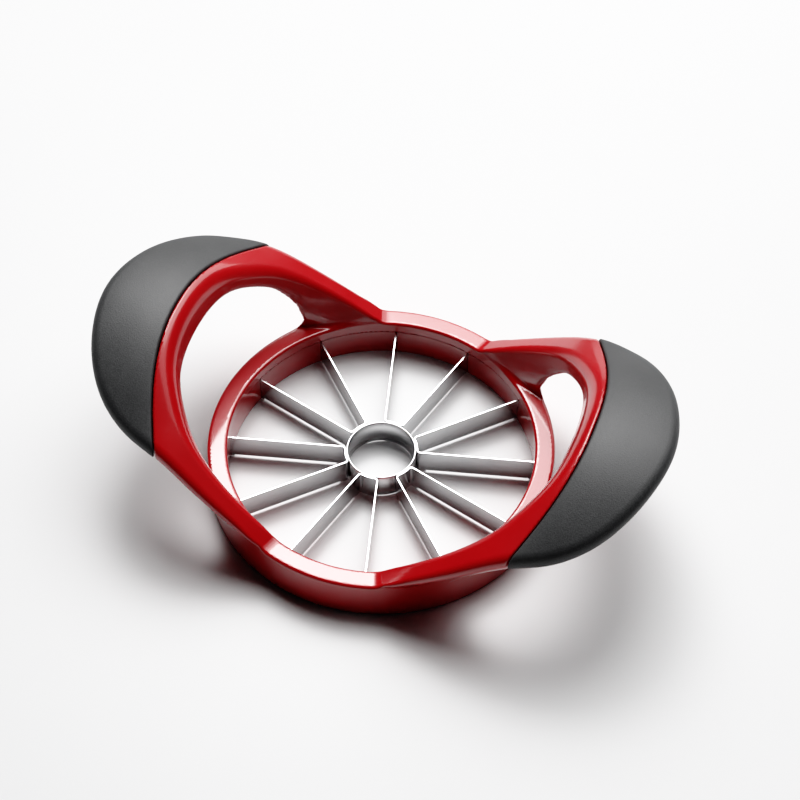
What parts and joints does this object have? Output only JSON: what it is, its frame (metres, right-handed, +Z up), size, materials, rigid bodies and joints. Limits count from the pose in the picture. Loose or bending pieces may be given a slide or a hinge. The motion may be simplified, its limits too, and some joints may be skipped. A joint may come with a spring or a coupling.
{
  "type": "apple slicer and corer",
  "caption": "Hand-pressed fruit slicer: a round blade head with radial blades around a coring tube, and two raised wing handles with finger holes and soft grips.",
  "frame": {"origin": "centre of the blade head at the level of its resting edge, on the axis of the coring tube", "axes": "+Z up along the axis of the coring tube, X along the line through the two wing handles, Y across them"},
  "size_m": [0.1986, 0.1186, 0.0584],
  "materials": {
    "red_plastic": "high gloss moulded",
    "soft_grip": "fine matte texture",
    "blade_steel": "fine rolled strip with ground edge"
  },
  "bodies": {
    "root": {"frame_body": "red_plastic", "blade_carrier_ring": "red_plastic", "core_ring": "blade_steel", "blade_pair_1": "blade_steel", "blade_pair_2": "blade_steel", "blade_pair_3": "blade_steel", "blade_pair_4": "blade_steel", "blade_pair_5": "blade_steel", "blade_pair_6": "blade_steel", "left_grip": "soft_grip", "right_grip": "soft_grip"}
  },
  "joints": []
}
